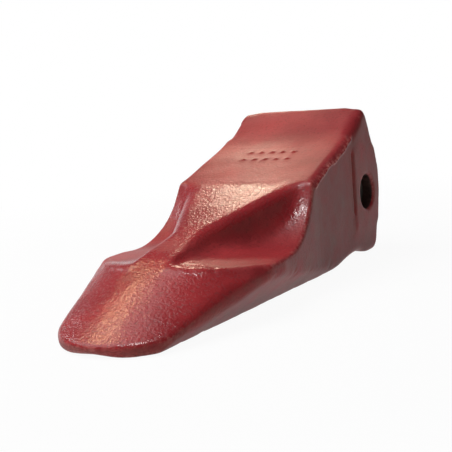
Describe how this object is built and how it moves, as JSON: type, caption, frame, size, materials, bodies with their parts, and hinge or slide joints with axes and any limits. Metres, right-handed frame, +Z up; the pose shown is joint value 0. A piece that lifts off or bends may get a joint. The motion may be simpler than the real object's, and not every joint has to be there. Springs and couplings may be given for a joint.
{
  "type": "excavator bucket tooth",
  "caption": "Cast excavator bucket tooth with twin side scoops, a rounded spade tip and a tapered rear socket, held by a cross pin with a spring-ring retainer.",
  "frame": {"origin": "centre of the bounding box on the floor the tooth lies on", "axes": "+Y from the tip towards the socket mouth, +Z up from the flat underside, +X along the pin towards its struck end"},
  "size_m": [0.13, 0.3159, 0.116],
  "materials": {
    "red_paint": "semi-gloss red paint over cast grain",
    "pin_steel": "dark oxide on turned steel",
    "spring_steel": "tempered spring steel",
    "black_rubber": "matt black rubber"
  },
  "bodies": {
    "point": {"tooth_point": "red_paint", "retainer_ring": "spring_steel", "retainer_jacket": "black_rubber"},
    "pin": {"retaining_pin": "pin_steel"}
  },
  "joints": [
    {"name": "pin_drive", "type": "slide", "parent": "point", "child": "pin", "axis": [1, 0, 0], "range_m": [0, 0.11], "deforming": ["retainer_ring", "retainer_jacket"]}
  ]
}
